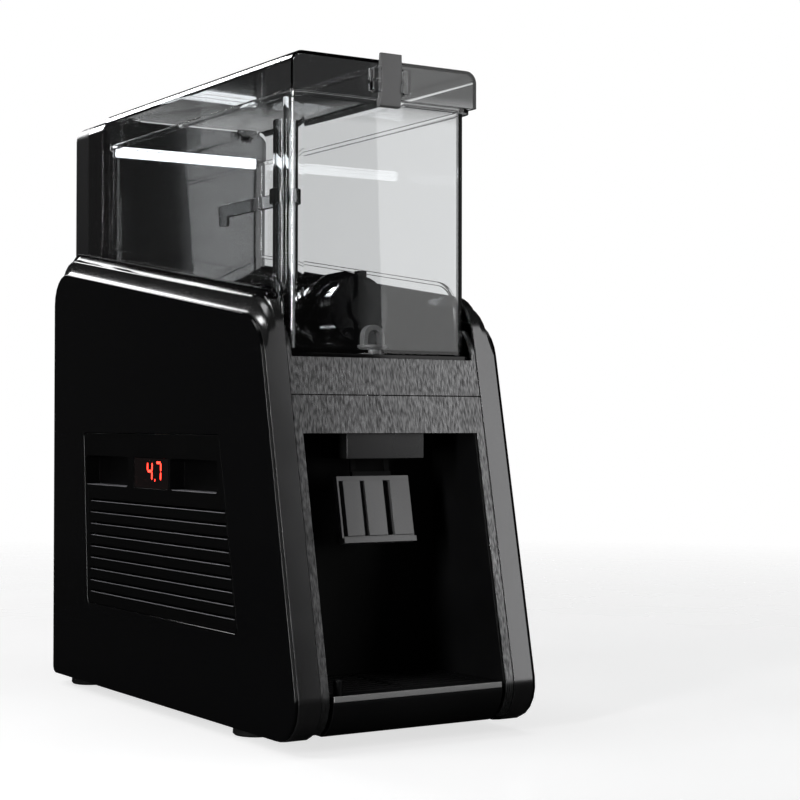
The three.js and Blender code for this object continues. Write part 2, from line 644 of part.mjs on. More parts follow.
function armClip() {
  const collar = ring(PIPE_RADIUS + GAP, PIPE_RADIUS + 2.8, ARM_Z - 6, ARM_Z + 6, 28)
    .translate([PIPE_X, PIPE_Y, 0]);
  const ear = box(ARM_X - 6.2, ARM_X - 3.2, PIPE_Y + PIPE_RADIUS + 0.4, ARM_Y + 4, ARM_Z - 4, ARM_Z + 4);
  const pin = rodX(ARM_PIN_RADIUS, ARM_X - 4, ARM_X + 3.5, ARM_Y, ARM_Z, 14);
  return join(cut(collar, rodZ(PIPE_RADIUS + GAP, ARM_Z - 9, ARM_Z + 9, PIPE_X, PIPE_Y, 28)), ear, pin);
}

function levelArm() {
  const end = ARM_Y + ARM_LENGTH;
  const [x0, x1] = [ARM_X - ARM_HALF_THICKNESS, ARM_X + ARM_HALF_THICKNESS];
  const shape = rectangle(ARM_Y - 6.4, end, ARM_Z - ARM_HALF_HEIGHT, ARM_Z + ARM_HALF_HEIGHT, 5.2, 5);
  const bar = alongX(shape, x0, x1);
  const tab = box(x0, x1, end - 13, end - 2, ARM_Z - 13, ARM_Z);
  const eye = rodX(ARM_PIN_RADIUS + 0.4, x0 - 2, x1 + 2, ARM_Y, ARM_Z, 14);
  return cut(join(bar, tab), eye);
}

add('arm_clip', armClip(), 'clear');
add('level_arm', levelArm(), 'clear');

// ---------------------------------------------------------------- freezing drum, auger and drive

add('freezing_drum', cut(rodY(DRUM_RADIUS, DRUM_FRONT, COLUMN_FRONT - GAP, 0, DRUM_Z, 36),
  rodY(SHAFT_RADIUS + 1.2, DRUM_FRONT - 1, COLUMN_FRONT + 1, 0, DRUM_Z, 20)), 'steel');

function auger() {
  const start = DRUM_FRONT - 3;
  const end = BOWL_REAR - 8;
  const perTurn = 14;
  const count = AUGER_TURNS * perTurn;
  const middle = (AUGER_INNER + AUGER_OUTER) / 2;
  const halfHeight = (AUGER_OUTER - AUGER_INNER) / 2;
  const halfWidth = 2.6;
  const positions = [];
  for (let i = 0; i <= count; i += 1) {
    const angle = 2 * Math.PI * i / perTurn - Math.PI / 2;
    const y = start + (end - start) * i / count;
    for (const [dr, dy] of [[-1, -1], [1, -1], [1, 1], [-1, 1]]) {
      const radius = middle + dr * halfHeight;
      positions.push(radius * Math.cos(angle), y + dy * halfWidth, DRUM_Z + radius * Math.sin(angle));
    }
  }
  const index = [0, 2, 1, 0, 3, 2];
  const last = 4 * count;
  index.push(last, last + 1, last + 2, last, last + 2, last + 3);
  for (let i = 0; i < count; i += 1) {
    for (let k = 0; k < 4; k += 1) {
      const a = 4 * i + k;
      const b = 4 * i + (k + 1) % 4;
      index.push(a, b, b + 4, a, b + 4, a + 4);
    }
  }
  const blade = new THREE.BufferGeometry();
  blade.setAttribute('position', new THREE.Float32BufferAttribute(positions, 3));
  blade.setIndex(index);
  const front = DRUM_FRONT - 8;
  const nose = rodY(AUGER_INNER + 1, front + 4, DRUM_FRONT - 1, 0, DRUM_Z, 36);
  const hub = rodY(HUB_RADIUS, front, DRUM_FRONT - 1, 0, DRUM_Z, 24);
  const spoke = box(-4, 4, front, DRUM_FRONT - 1, DRUM_Z - AUGER_OUTER + 0.5, DRUM_Z);
  const balance = box(-4, 4, front, DRUM_FRONT - 1, DRUM_Z, DRUM_Z + AUGER_OUTER - 2);
  const bore = rodY(SHAFT_RADIUS + 0.2, front + 3, DRUM_FRONT, 0, DRUM_Z, 20);
  return cut(join(solid(blade), nose, hub, spoke, balance), bore);
}

add('auger', auger(), 'glossBlack');
add('drive_shaft', rodY(SHAFT_RADIUS, DRUM_FRONT - 4.7, 206, 0, DRUM_Z, 20), 'steel');
const gearShape = rectangle(-GEAR_CASE.half, GEAR_CASE.half, GEAR_CASE.low, GEAR_CASE.high, 6, 3);
add('gear_case', cut(
  alongY(gearShape, GEAR_CASE.front, GEAR_CASE.rear),
  rodY(SHAFT_RADIUS + 0.6, GEAR_CASE.front - 1, GEAR_CASE.rear - 7, 0, DRUM_Z, 20),
), 'zinc');
const gearMiddle = (GEAR_CASE.front + GEAR_CASE.rear) / 2;
add('drive_motor', rodZ(MOTOR_RADIUS, 280, GEAR_CASE.low - 0.5, 0, gearMiddle, 28), 'zinc');

// ---------------------------------------------------------------- column, light and lid

function columnOutline(inset) {
  return outline([
    [-MIDDLE_HALF + inset, COLUMN_BOTTOM + inset], [MIDDLE_HALF - inset, COLUMN_BOTTOM + inset],
    [MIDDLE_HALF - inset, COLUMN_TOP - inset, COLUMN_CORNER - inset],
    [-MIDDLE_HALF + inset, COLUMN_TOP - inset, COLUMN_CORNER - inset],
  ], 7);
}

const LIGHT = { half: 79, low: 520, high: 531 };

function columnFront() {
  const shell = cut(alongY(columnOutline(0), COLUMN_FRONT, COLUMN_SEAM - 0.2),
    alongY(columnOutline(WALL), COLUMN_FRONT + WALL, COLUMN_SEAM + 1));
  const ears = [-HINGE_X, HINGE_X].map((x) => alongX(outline([
    [LID_AXIS_Y - 3.6, LID_AXIS_Z - 3.6, 3], [COLUMN_FRONT + 1, LID_AXIS_Z - 8],
    [COLUMN_FRONT + 1, LID_AXIS_Z + 0.5], [LID_AXIS_Y - 3.6, LID_AXIS_Z + 3.6, 3],
  ], 3), x - 4, x + 4));
  const pinHoles = rodX(2.2, -HINGE_X - 6, HINGE_X + 6, LID_AXIS_Y, LID_AXIS_Z, 14);
  const lightShape = rectangle(-LIGHT.half, LIGHT.half, LIGHT.low, LIGHT.high, 2, 3);
  const lightSlot = alongY(lightShape, COLUMN_FRONT - 1, COLUMN_FRONT + 5);
  const shaftHole = rodY(10, COLUMN_FRONT - 1, COLUMN_FRONT + 5, 0, DRUM_Z, 24);
  const gapHalf = MIDDLE_HALF - 20;
  const floorGap = box(-gapHalf, gapHalf, COLUMN_FRONT + 6, COLUMN_SEAM - 3,
    COLUMN_BOTTOM - 1, COLUMN_BOTTOM + 4);
  return cut(join(shell, ...ears), pinHoles, lightSlot, shaftHole, floorGap);
}

add('column_front', columnFront(), 'glossBlack');
add('light_lens', alongY(
  rectangle(-LIGHT.half + GAP, LIGHT.half - GAP, LIGHT.low + GAP, LIGHT.high - GAP, 1.7, 3),
  COLUMN_FRONT - 1,
  COLUMN_FRONT + 4,
), 'glow');
for (const [name, side] of [['left', -1], ['right', 1]]) {
  const x = side * HINGE_X;
  add(`lid_pin_${name}`, rodX(1.8, x - 9, x + 9, LID_AXIS_Y, LID_AXIS_Z, 14), 'steel');
}

function lid() {
  const section = (inset, bottom) => outline([
    [-RIM_HALF + inset, bottom], [RIM_HALF - inset, bottom],
    [RIM_HALF - inset, LID_TOP - inset, LID_EDGE_RADIUS - inset],
    [-RIM_HALF + inset, LID_TOP - inset, LID_EDGE_RADIUS - inset],
  ], 6);
  const shell = cut(alongY(section(0, RIM_TOP + GAP), RIM_FRONT, LID_REAR),
    alongY(section(LID_WALL, RIM_TOP - 1), RIM_FRONT + LID_WALL, LID_REAR - LID_WALL));
  const pieces = [shell];
  const cuts = [];
  for (const x of [-HINGE_X, HINGE_X]) {
    pieces.push(box(x - 11, x + 11, LID_AXIS_Y - 7, LID_REAR - 1, LID_AXIS_Z - 5, LID_TOP - 1));
    cuts.push(box(x - 5, x + 5, LID_AXIS_Y - 6, LID_REAR + 1, LID_AXIS_Z - 10, LID_TOP + 1));
    cuts.push(rodX(2.2, x - 9.6, x + 9.6, LID_AXIS_Y, LID_AXIS_Z, 14));
  }
  return cut(join(...pieces), ...cuts);
}

add('lid', lid(), 'clear');

function latchBlock() {
  const front = RIM_FRONT - 9.5;
  const block = alongY(rectangle(-18, 18, 532, 552.5, 2, 3), front, RIM_FRONT - GAP);
  const slot = box(-10.6, 10.6, front - 1, RIM_FRONT + 1, 531, 554);
  const cheeks = cut(block, slot);
  const bridge = box(-12, 12, RIM_FRONT - 2, RIM_FRONT - GAP, 534, 541);
  return cut(join(cheeks, bridge), rodX(1.6, -15, 15, LATCH_AXIS_Y, LATCH_AXIS_Z, 12));
}

function latchTab() {
  const profile = outline([
    [-195.4, 520.6], [-195.4, 526.5], [-197.6, 528.6], [-197.6, 548], [-199.2, 564.8, 0.8],
    [-202.6, 564.8, 0.8], [-203, 548], [-201, 520.6, 1.5],
  ], 3);
  return cut(alongX(profile, -10, 10), rodX(1.6, -12, 12, LATCH_AXIS_Y, LATCH_AXIS_Z, 12));
}

add('latch_block', latchBlock(), 'clear');
add('latch_tab', latchTab(), 'midGrey');
add('latch_pin', rodX(1.3, -14.6, 14.6, LATCH_AXIS_Y, LATCH_AXIS_Z, 12), 'steel');

// ---------------------------------------------------------------- back covers, switches and fans

const CONTROL = { x0: -71, x1: 66, z0: 474, z1: 533 };

function upperBackCover() {
  const shell = cut(alongY(columnOutline(0), COLUMN_SEAM, REAR_Y),
    alongY(columnOutline(WALL), COLUMN_SEAM - 1, REAR_Y - WALL));
  const { x0, x1, z0, z1 } = CONTROL;
  const well = box(x0 - WALL, x1 + WALL, CONTROL_FLOOR - WALL, REAR_Y - 1, z0 - WALL, z1 + WALL);
  const recess = alongY(rectangle(x0, x1, z0, z1, 6, 4), CONTROL_FLOOR, REAR_Y + 1);
  const holeHalf = SWITCH_HEIGHT / 2 - 1;
  const switchHoles = SWITCHES.map(([, x, width]) => box(x - width / 2 + 1, x + width / 2 - 1,
    CONTROL_FLOOR - 5, CONTROL_FLOOR + 1, SWITCH_Z - holeHalf, SWITCH_Z + holeHalf));
  const slots = [];
  for (let i = -4; i <= 4; i += 1) {
    const z = FAN_Z + i * 9.4;
    const half = Math.sqrt(FAN_RADIUS ** 2 - (Math.abs(i * 9.4) + 2.3) ** 2);
    slots.push(box(-half, half, REAR_Y - WALL - 1, REAR_Y + 1, z - 2.3, z + 2.3));
  }
  return cut(join(shell, well), recess, ...switchHoles, ...slots);
}

function lowerBackPanel() {
  const panel = box(-MIDDLE_HALF, MIDDLE_HALF, REAR_Y - WALL, REAR_Y, FOOT_HEIGHT + 4, COLUMN_BOTTOM - 3);
  const slots = [];
  for (let i = 0; i < 18; i += 1) {
    const z = 48 + LOUVRE_PITCH * i;
    slots.push(box(-68, 68, REAR_Y - WALL - 1, REAR_Y + 1, z, z + 3.4));
  }
  return cut(panel, ...slots);
}

add('upper_back_cover', upperBackCover(), 'matteDark');
add('lower_back_panel', lowerBackPanel(), 'matteDark');

// The rocker's ends are arcs about its pivot; at rest its lower end is pressed in.
function rockerOutline() {
  const tilt = -ROCKER_SWING / 2;
  const ends = [57, 72, 88].map((degrees) => [ROCKER_REACH, degrees]);
  const points = [[5, 0], ...ends, [4.2, 130], [4.2, -130], ...ends.map(([r, d]) => [r, -d]).reverse()];
  return outline(points.map(([radius, degrees]) => {
    const angle = THREE.MathUtils.degToRad(degrees + tilt);
    return [ROCKER_AXIS_Y + radius * Math.cos(angle), SWITCH_Z + radius * Math.sin(angle)];
  }));
}

for (const [name, x, width] of SWITCHES) {
  const half = SWITCH_HEIGHT / 2;
  const block = (edge, topEdge, y0, y1) => box(x - width / 2 + edge, x + width / 2 - edge, y0, y1,
    SWITCH_Z - half + topEdge, SWITCH_Z + half - topEdge);
  const bezel = block(0, 0, CONTROL_FLOOR + GAP, CONTROL_FLOOR + 2);
  const body = block(1.4, 1.4, 226, CONTROL_FLOOR + 1);
  const well = block(2.6, 2.3, 233, CONTROL_FLOOR + 3);
  add(`${name}_switch_body`, cut(join(bezel, body), well), 'matteBlack');
  add(`${name}_rocker`, alongX(rockerOutline(), x - width / 2 + 3, x + width / 2 - 3), 'matteBlack');
}

function rotor(hub, tip, thickness, blades) {
  const pieces = [turned([[0, 0], [hub, 0], [hub, thickness], [0, thickness]], 28)];
  for (let i = 0; i < blades; i += 1) {
    const blade = solid(new THREE.BoxGeometry(tip - hub + 1, (hub + tip) * 0.32, 1.4));
    const placed = blade.rotate([28, 0, 0]).translate([(tip + hub) / 2 - 0.5, 0, thickness / 2]);
    pieces.push(placed.rotate([0, 0, 360 * i / blades]));
  }
  return join(...pieces).rotate([-90, 0, 0]);
}

add('column_fan', rotor(13, 37, 9, 7).translate([0, 221, FAN_Z]), 'matteBlack');
add('column_fan_frame', join(
  cut(rodY(42, 220, 243, 0, FAN_Z, 40), rodY(39.5, 219, 244, 0, FAN_Z, 40)),
  rodY(13, 232, 243, 0, FAN_Z, 24),
  box(-41, 41, 239.5, 243, FAN_Z - 2, FAN_Z + 2),
  box(-2, 2, 239.5, 243, FAN_Z - 41, FAN_Z + 41),
), 'matteBlack');

// ---------------------------------------------------------------- cooling unit and base

const GLAND_X = 50;
const GLAND_Y = 215;
const baseTop = BASE_Z + BASE_THICKNESS;

add('base_plate', cut(
  box(-BASE_HALF, BASE_HALF, BASE_FRONT, REAR_Y - 10, BASE_Z, baseTop),
  rodZ(6.6, BASE_Z - 1, baseTop + 1, GLAND_X, GLAND_Y, 20),
), 'zinc');

add('compressor', join(
  turned([[0, 18], [50, 18], [56, 24], [57, 70], [57, 118], [48, 148], [24, 160], [0, 162]], 24),
  box(-62, 62, -30, 30, baseTop + GAP, 20),
), 'matteBlack');

function condenser() {
  const corners = [];
  const fins = 24;
  const pitch = 6.4;
  const low = 50;
  const [front, root, rear] = [208, 232, 238];
  for (let i = 0; i < fins; i += 1) {
    const z = low + pitch * i;
    corners.push([rear, z], [rear, z + pitch / 2], [root, z + pitch / 2], [root, z + pitch]);
  }
  const top = low + pitch * fins;
  corners.push([rear, top], [rear, top + WALL], [front, top + WALL], [front, low]);
  return alongX(outline(corners), -78, 78);
}

add('condenser', condenser(), 'zinc');
add('condenser_fan', rotor(20, 62, 14, 5).translate([0, 188, CONDENSER_FAN_Z]), 'zinc');
add('condenser_fan_motor', join(
  rodY(18, 158, 187, 0, CONDENSER_FAN_Z, 24),
  box(-4, 4, 160, 172, baseTop + GAP, CONDENSER_FAN_Z),
  box(-30, 30, 155, 177, baseTop + GAP, 17),
), 'matteBlack');
add('discharge_pipe', tube([
  [30, 0, 163], [30, 2, 195], [34, 40, 232], [45, 120, 242], [60, 180, 236], [66, 222, 228], [66, 223, 213],
], 3, 6, 20), 'copper');
add('suction_pipe', tube([
  [-20, 0, 166], [-20, 0, 210], [-24, 30, 245], [-30, 110, 254],
  [-40, 175, 252], [-46, 199, 266], [-46, 200, 310], [-46, 200, 350],
], 4, 6, 20), 'copper');

add('cable_gland', turned([
  [0, 4], [4, 4], [6, 7], [6, 8.4], [9.5, 8.4], [9.5, 12], [6, 12], [6, 18], [0, 18],
], 20).translate([GLAND_X, GLAND_Y, 0]), 'rubber');

for (const [end, y] of Object.entries(FOOT_POSITIONS)) {
  for (const [side, x] of [['left', -FOOT_X], ['right', FOOT_X]]) {
    add(`foot_${end}_${side}`, turned([
      [0, 0], [FOOT_RADIUS - 1.5, 0], [FOOT_RADIUS, 1.5], [FOOT_RADIUS - 0.5, FOOT_HEIGHT - 0.5],
      [5.5, FOOT_HEIGHT - 0.5], [5.5, BASE_Z - GAP], [0, BASE_Z - GAP],
    ], 22).translate([x, y, 0]), 'rubber');
  }
}

export default machine;
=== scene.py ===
# Looks for the counter-top slushie machine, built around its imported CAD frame, in metres.

import json
import math

import bmesh
import bpy
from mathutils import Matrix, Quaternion, Vector


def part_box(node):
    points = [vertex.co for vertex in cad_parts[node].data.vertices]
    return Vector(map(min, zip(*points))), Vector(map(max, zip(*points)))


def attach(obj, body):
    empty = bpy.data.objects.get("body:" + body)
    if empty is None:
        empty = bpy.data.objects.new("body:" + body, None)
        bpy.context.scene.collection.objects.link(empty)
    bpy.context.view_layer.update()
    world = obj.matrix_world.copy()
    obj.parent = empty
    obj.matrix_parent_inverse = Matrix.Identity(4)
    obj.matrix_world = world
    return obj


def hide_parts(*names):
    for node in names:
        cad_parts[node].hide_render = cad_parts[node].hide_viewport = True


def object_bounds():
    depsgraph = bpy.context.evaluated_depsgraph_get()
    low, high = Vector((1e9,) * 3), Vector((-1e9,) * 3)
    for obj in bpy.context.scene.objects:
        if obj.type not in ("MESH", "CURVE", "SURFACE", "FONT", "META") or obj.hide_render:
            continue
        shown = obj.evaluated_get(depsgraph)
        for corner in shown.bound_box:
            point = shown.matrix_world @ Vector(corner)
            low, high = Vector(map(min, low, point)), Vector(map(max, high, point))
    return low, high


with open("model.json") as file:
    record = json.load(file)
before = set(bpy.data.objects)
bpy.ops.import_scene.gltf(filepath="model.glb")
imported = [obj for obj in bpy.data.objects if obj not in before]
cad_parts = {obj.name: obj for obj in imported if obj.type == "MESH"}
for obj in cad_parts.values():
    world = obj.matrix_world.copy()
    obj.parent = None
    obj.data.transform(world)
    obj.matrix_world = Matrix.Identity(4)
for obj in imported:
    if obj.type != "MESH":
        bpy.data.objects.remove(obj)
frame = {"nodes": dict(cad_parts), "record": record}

cad_low, cad_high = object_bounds()

MM = 0.001
NODES = frame["nodes"]
RECORD = frame["record"]
BODY_OF = {node: body for body, nodes in RECORD["behaviour"]["bodies"].items() for node in nodes}
SLOT_OF = {row["node"]: row["material_slot"] for row in RECORD["subparts"]}
HINGE_AT = {joint["name"]: Vector(joint["pos_m"]) for joint in RECORD["behaviour"]["joints"]
            if "pos_m" in joint}

# The CAD source's own lines, in mm, where no node's box gives them.
FRONT_FOOT_Y = -258.4            # where the leaning front plane would meet the floor
FRONT_SLOPE = 0.2084             # the front leans back by this much for each mm of height
TOP_Y = -157.3                   # a point on the sloping top edge of the side panels
TOP_Z = 349.6
TOP_SLOPE = 0.1513
LOUVRE_PITCH = 10.8


# ---------------------------------------------------------------- material helpers

def tree_of(name):
    """A new material with an empty node tree."""
    material = bpy.data.materials.new(name)
    material.use_nodes = True
    nodes = material.node_tree.nodes
    nodes.clear()
    return material, nodes, material.node_tree.links


def noise(nodes, links, scale, stretch=(1, 1, 1), detail=4):
    """Noise in the object's own metres; scale is features per metre, stretch shortens them per axis."""
    coordinates = nodes.new("ShaderNodeTexCoord")
    mapping = nodes.new("ShaderNodeMapping")
    mapping.inputs["Scale"].default_value = stretch
    texture = nodes.new("ShaderNodeTexNoise")
    texture.inputs["Scale"].default_value = scale
    texture.inputs["Detail"].default_value = detail
    texture.inputs["Roughness"].default_value = 0.55
    links.new(coordinates.outputs["Object"], mapping.inputs["Vector"])
    links.new(mapping.outputs["Vector"], texture.inputs["Vector"])
    return texture.outputs["Fac"]


def spread(nodes, links, source, low, high, start=0.3, end=0.7):
    """Maps a value from start..end to low..high."""
    ramp = nodes.new("ShaderNodeMapRange")
    ramp.inputs["From Min"].default_value = start
    ramp.inputs["From Max"].default_value = end
    ramp.inputs["To Min"].default_value = low
    ramp.inputs["To Max"].default_value = high
    links.new(source, ramp.inputs["Value"])
    return ramp.outputs["Result"]


def blend_colours(nodes, links, factor, first, second):
    mix = nodes.new("ShaderNodeMix")
    mix.data_type = "RGBA"
    mix.inputs["A"].default_value = (*first, 1)
    mix.inputs["B"].default_value = (*second, 1)
    links.new(factor, mix.inputs["Factor"])
    return mix.outputs["Result"]


def mix_values(nodes, links, factor, first, second):
    """A number between first and second, each of which is a constant or a socket."""
    mix = nodes.new("ShaderNodeMix")
    set_or_link(links, first, mix.inputs["A"])
    set_or_link(links, second, mix.inputs["B"])
    links.new(factor, mix.inputs["Factor"])
    return mix.outputs["Result"]


def mix_shaders(nodes, links, factor, first, second):
    mix = nodes.new("ShaderNodeMixShader")
    for socket, source in zip(mix.inputs, (factor, first, second)):
        links.new(source, socket)
    return mix.outputs["Shader"]


def set_or_link(links, value, socket):
    if isinstance(value, (int, float)):
        socket.default_value = value
    else:
        links.new(value, socket)


def arithmetic(nodes, links, operation, *values):
    node = nodes.new("ShaderNodeMath")
    node.operation = operation
    for value, socket in zip(values, node.inputs):
        set_or_link(links, value, socket)
    return node.outputs["Value"]


def bump(nodes, links, height, strength, distance):
    node = nodes.new("ShaderNodeBump")
    node.inputs["Strength"].default_value = strength
    node.inputs["Distance"].default_value = distance
    links.new(height, node.inputs["Height"])
    return node.outputs["Normal"]


def solid_finish(name, colour, rough, metallic=0.0, specular=0.5, coat=0.0, grain=900, stretch=(1, 1, 1),
                 depth=0.02, depth_strength=0.15, tone=0.25, smudge=14, anisotropy=0.0, fine_detail=5):
    """An opaque finish: tone varies with the grain, roughness with smudges, and the grain is embossed.

    rough is the least and greatest roughness, depth is in mm, and grain and smudge are features per metre.
    """
    material, nodes, links = tree_of(name)
    shader = nodes.new("ShaderNodeBsdfPrincipled")
    output = nodes.new("ShaderNodeOutputMaterial")
    fine = noise(nodes, links, grain, stretch, detail=fine_detail)
    broad = noise(nodes, links, smudge, detail=3)
    dark = tuple(c * (1 - tone) for c in colour)
    light = tuple(min(1, c * (1 + tone)) for c in colour)
    links.new(blend_colours(nodes, links, spread(nodes, links, fine, 0, 1), dark, light),
              shader.inputs["Base Color"])
    links.new(spread(nodes, links, broad, rough[0], rough[1]), shader.inputs["Roughness"])
    links.new(bump(nodes, links, fine, depth_strength, depth * MM), shader.inputs["Normal"])
    shader.inputs["Metallic"].default_value = metallic
    shader.inputs["Specular IOR Level"].default_value = specular
    shader.inputs["Coat Weight"].default_value = coat
    shader.inputs["Coat Roughness"].default_value = 0.05
    shader.inputs["Anisotropic"].default_value = anisotropy
    links.new(shader.outputs["BSDF"], output.inputs["Surface"])
    return material


def clear_finish(name, colour, rough, ior=1.49):
    """Clear plastic with faint rubbing marks, which lets most of the lamps' light through."""
    material, nodes, links = tree_of(name)
    shader = nodes.new("ShaderNodeBsdfPrincipled")
    output = nodes.new("ShaderNodeOutputMaterial")
    marks = noise(nodes, links, 30, (1, 1, 0.4), detail=6)
    shader.inputs["Base Color"].default_value = (*colour, 1)
    shader.inputs["Transmission Weight"].default_value = 1
    shader.inputs["IOR"].default_value = ior
    links.new(spread(nodes, links, marks, rough[0], rough[1]), shader.inputs["Roughness"])
    links.new(bump(nodes, links, marks, 0.03, 0.02 * MM), shader.inputs["Normal"])
    passing = nodes.new("ShaderNodeBsdfTransparent")
    passing.inputs["Color"].default_value = (0.9, 0.9, 0.9, 1)
    path = nodes.new("ShaderNodeLightPath")
    mixed = mix_shaders(nodes, links, path.outputs["Is Shadow Ray"], shader.outputs["BSDF"],
                        passing.outputs["BSDF"])
    links.new(mixed, output.inputs["Surface"])
    return material


def glowing_finish(name, colour, strength, base=(0.6, 0.6, 0.62)):
    """A frosted lens lit from behind, a little uneven."""
    material, nodes, links = tree_of(name)
    shader = nodes.new("ShaderNodeBsdfPrincipled")
    output = nodes.new("ShaderNodeOutputMaterial")
    uneven = noise(nodes, links, 60, detail=2)
    tinted = blend_colours(nodes, links, uneven, tuple(0.92 * c for c in colour), colour)
    links.new(tinted, shader.inputs["Emission Color"])
    shader.inputs["Emission Strength"].default_value = strength
    shader.inputs["Base Color"].default_value = (*base, 1)
    links.new(spread(nodes, links, uneven, 0.3, 0.45), shader.inputs["Roughness"])
    links.new(shader.outputs["BSDF"], output.inputs["Surface"])
    return material


FINISHES = {
    "gloss_black": solid_finish("gloss_black", (0.0012, 0.0012, 0.0014), (0.06, 0.11), specular=0.36,
                                grain=260, depth=0.01, depth_strength=0.04, tone=0.15, smudge=9),
    "satin_grey": solid_finish("satin_grey", (0.145, 0.145, 0.147), (0.16, 0.21), metallic=0.96,
                               grain=1500, depth=0.012, depth_strength=0.1, tone=0.12, smudge=12),
    "brushed_dark": solid_finish("brushed_dark", (0.145, 0.145, 0.147), (0.24, 0.32), metallic=0.96,
                                 grain=1, stretch=(760, 760, 45), depth=0.03, depth_strength=0.2,
                                 tone=0.6, smudge=10, anisotropy=0.3, fine_detail=1),
    "matte_dark": solid_finish("matte_dark", (0.0012, 0.0012, 0.0013), (0.3, 0.42), specular=0.15,
                               grain=1800, depth=0.03, depth_strength=0.25),
    "matte_black": solid_finish("matte_black", (0.003, 0.003, 0.0033), (0.42, 0.6), specular=0.22,
                                grain=1400, depth=0.03, depth_strength=0.2),
    "compressor_black": solid_finish("compressor_black", (0.008, 0.008, 0.008), (0.2, 0.35), coat=0.4,
                                     grain=500, depth=0.05, depth_strength=0.2),
    "mid_grey": solid_finish("mid_grey", (0.19, 0.19, 0.192), (0.32, 0.42), metallic=0.65, grain=1600,
                             tone=0.08),
    "light_grey": solid_finish("light_grey", (0.1, 0.1, 0.101), (0.38, 0.5), grain=1600, tone=0.08),
    "steel": solid_finish("steel", (0.75, 0.75, 0.76), (0.06, 0.13), metallic=1, grain=1,
                          stretch=(60, 900, 900), depth_strength=0.12, tone=0.06),
    "zinc": solid_finish("zinc", (0.36, 0.37, 0.38), (0.35, 0.55), metallic=1, grain=220, depth=0.03,
                         tone=0.18),
    "rubber": solid_finish("rubber", (0.007, 0.007, 0.007), (0.6, 0.8), specular=0.3, grain=1200,
                           depth=0.05, depth_strength=0.3, tone=0.3),
    "lens": solid_finish("lens", (0.004, 0.0015, 0.0015), (0.05, 0.1), coat=0.5, grain=300, depth=0.005,
                         depth_strength=0.03, tone=0.2),
    "copper": solid_finish("copper", (0.6, 0.27, 0.15), (0.25, 0.4), metallic=1, grain=120,
                           depth_strength=0.1, tone=0.2),
    "clear": clear_finish("clear", (0.95, 0.96, 0.965), (0.0, 0.012)),
    "glow": glowing_finish("glow", (0.96, 0.98, 1.0), 1.7),
}
COLUMN_GLOSS = solid_finish("column_gloss", (0.13, 0.13, 0.131), (0.04, 0.08), metallic=0.95, grain=260,
                            depth=0.004, depth_strength=0.03, tone=0.08, smudge=9)
DIGIT_RED = glowing_finish("digit_red", (1.0, 0.035, 0.02), 6.0, base=(0.2, 0.01, 0.01))
PRINT_WHITE = solid_finish("print_white", (0.5, 0.5, 0.5), (0.5, 0.6), grain=1500, depth=0.01,
                           depth_strength=0.1, tone=0.05)
BACK_PAINT = solid_finish("back_paint", (0.075, 0.075, 0.077), (0.3, 0.38), metallic=0.85, grain=1500,
                          depth=0.015, depth_strength=0.12, tone=0.12, smudge=12)
SPOUT_GREY = solid_finish("spout_grey", (0.065, 0.065, 0.066), (0.22, 0.3), metallic=0.9, grain=1500,
                          depth=0.012, depth_strength=0.1, tone=0.12, smudge=12)
LIP_GREY = solid_finish("lip_grey", (0.4, 0.4, 0.4), (0.3, 0.4), metallic=0.6, grain=1600,
                        depth_strength=0.12, tone=0.08)
CLEAR_BRIGHT = clear_finish("clear_bright", (0.96, 0.97, 0.975), (0.0, 0.01), ior=1.66)
CLEAR_TINTED = clear_finish("clear_tinted", (0.66, 0.67, 0.68), (0.0, 0.01), ior=1.6)
# pale grey painted as a highlight on the finger pockets' floors and the vent slots' lower edges
PAINTED_HIGHLIGHT_GREY = solid_finish("painted_highlight_grey", (0.22, 0.22, 0.235), (0.28, 0.4), tone=0.2)
SCREW_BLACK = solid_finish("screw_black", (0.004, 0.004, 0.004), (0.3, 0.45), metallic=0.6,
                           depth_strength=0.2)


# ---------------------------------------------------------------- mesh helpers

def finish_piece(name, bm, body, slot, material=None, sharp=38):
    mesh = bpy.data.meshes.new(name)
    bmesh.ops.recalc_face_normals(bm, faces=bm.faces[:])
    bm.to_mesh(mesh)
    bm.free()
    mesh.shade_smooth()
    mesh.set_sharp_from_angle(angle=math.radians(sharp))
    mesh.materials.append(material or FINISHES[slot])
    piece = bpy.data.objects.new(name, mesh)
    bpy.context.scene.collection.objects.link(piece)
    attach(piece, body)
    return piece


WELD_DISTANCE = 0.003 * MM
FLAT_ANGLE = math.radians(0.3)
CORNER_ANGLE = math.radians(30)
SKIN_SHARP = 50


def is_corner(edge):
    return len(edge.link_faces) == 2 and edge.calc_face_angle(0) > CORNER_ANGLE


def refined(node, radius, segments, material=None, keep=None, suffix="_skin", slot=None, shape=None):
    """The CAD node's own shape with its edges rounded (radius in mm), as a finer piece that stands for it.

    keep picks the faces that this piece holds, by their middles, and shape moves each of its points.
    """
    bm = bmesh.new()
    bm.from_mesh(NODES[node].data)
    bmesh.ops.remove_doubles(bm, verts=bm.verts[:], dist=WELD_DISTANCE)
    bmesh.ops.dissolve_limit(bm, angle_limit=FLAT_ANGLE, verts=bm.verts[:], edges=bm.edges[:])
    corners = [edge for edge in bm.edges if is_corner(edge)]
    bmesh.ops.bevel(bm, geom=corners, offset=radius * MM, segments=segments, profile=0.5, affect="EDGES",
                    clamp_overlap=True)
    if shape:
        for vertex in bm.verts:
            shape(vertex.co)
    if keep:
        spare = [face for face in bm.faces if not keep(face.calc_center_median())]
        bmesh.ops.delete(bm, geom=spare, context="FACES")
    piece = finish_piece(node + suffix, bm, BODY_OF[node], slot or SLOT_OF[node], material, SKIN_SHARP)
    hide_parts(node)
    modifier = piece.modifiers.new("flat_faces_stay_flat", "WEIGHTED_NORMAL")
    modifier.keep_sharp = True


